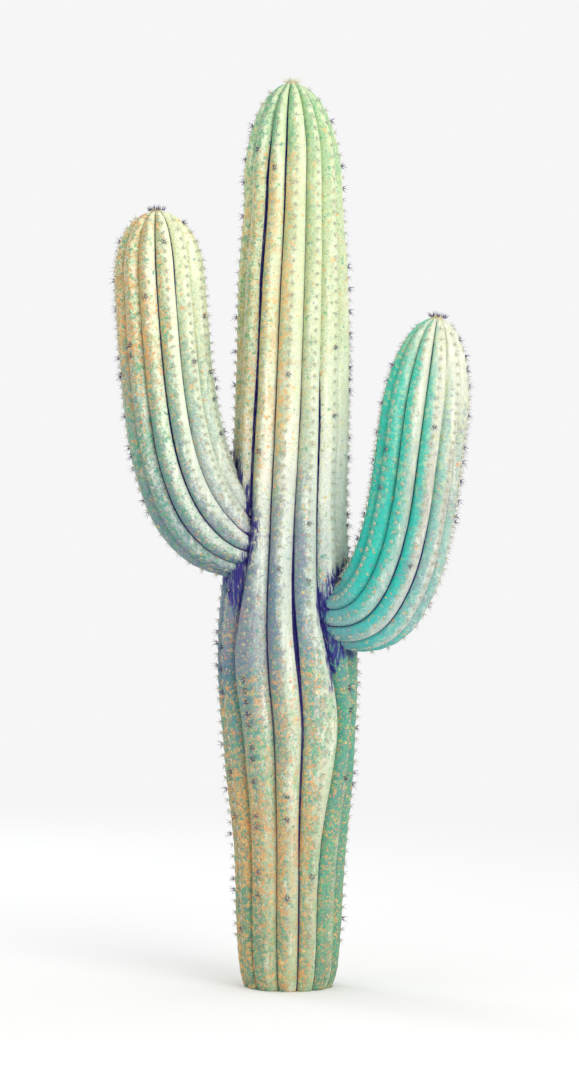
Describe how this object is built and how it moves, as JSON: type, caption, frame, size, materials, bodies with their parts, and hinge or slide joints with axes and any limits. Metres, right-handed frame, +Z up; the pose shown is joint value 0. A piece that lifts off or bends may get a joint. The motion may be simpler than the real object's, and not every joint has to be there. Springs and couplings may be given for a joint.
{
  "type": "saguaro cactus",
  "caption": "Ribbed columnar saguaro cactus: a tall trunk with arms that bend up beside it, rooted and cut flat at ground level.",
  "frame": {"origin": "middle of the flat cut under the trunk, at ground level", "axes": "+Z up along the trunk, -Y towards the viewer, +X to the side of the lower arm"},
  "size_m": [1.8103, 0.9413, 4.5494],
  "materials": {
    "trunk_skin": "waxy green skin, mottled tan towards the foot",
    "left_arm_skin": "waxy yellow-green skin, mottled tan on its outer ribs",
    "right_arm_skin": "waxy blue-green skin"
  },
  "bodies": {
    "root": {"trunk": "trunk_skin", "left_arm_elbow": "left_arm_skin", "left_arm_upright": "left_arm_skin", "right_arm_elbow": "right_arm_skin", "right_arm_upright": "right_arm_skin"}
  },
  "joints": []
}
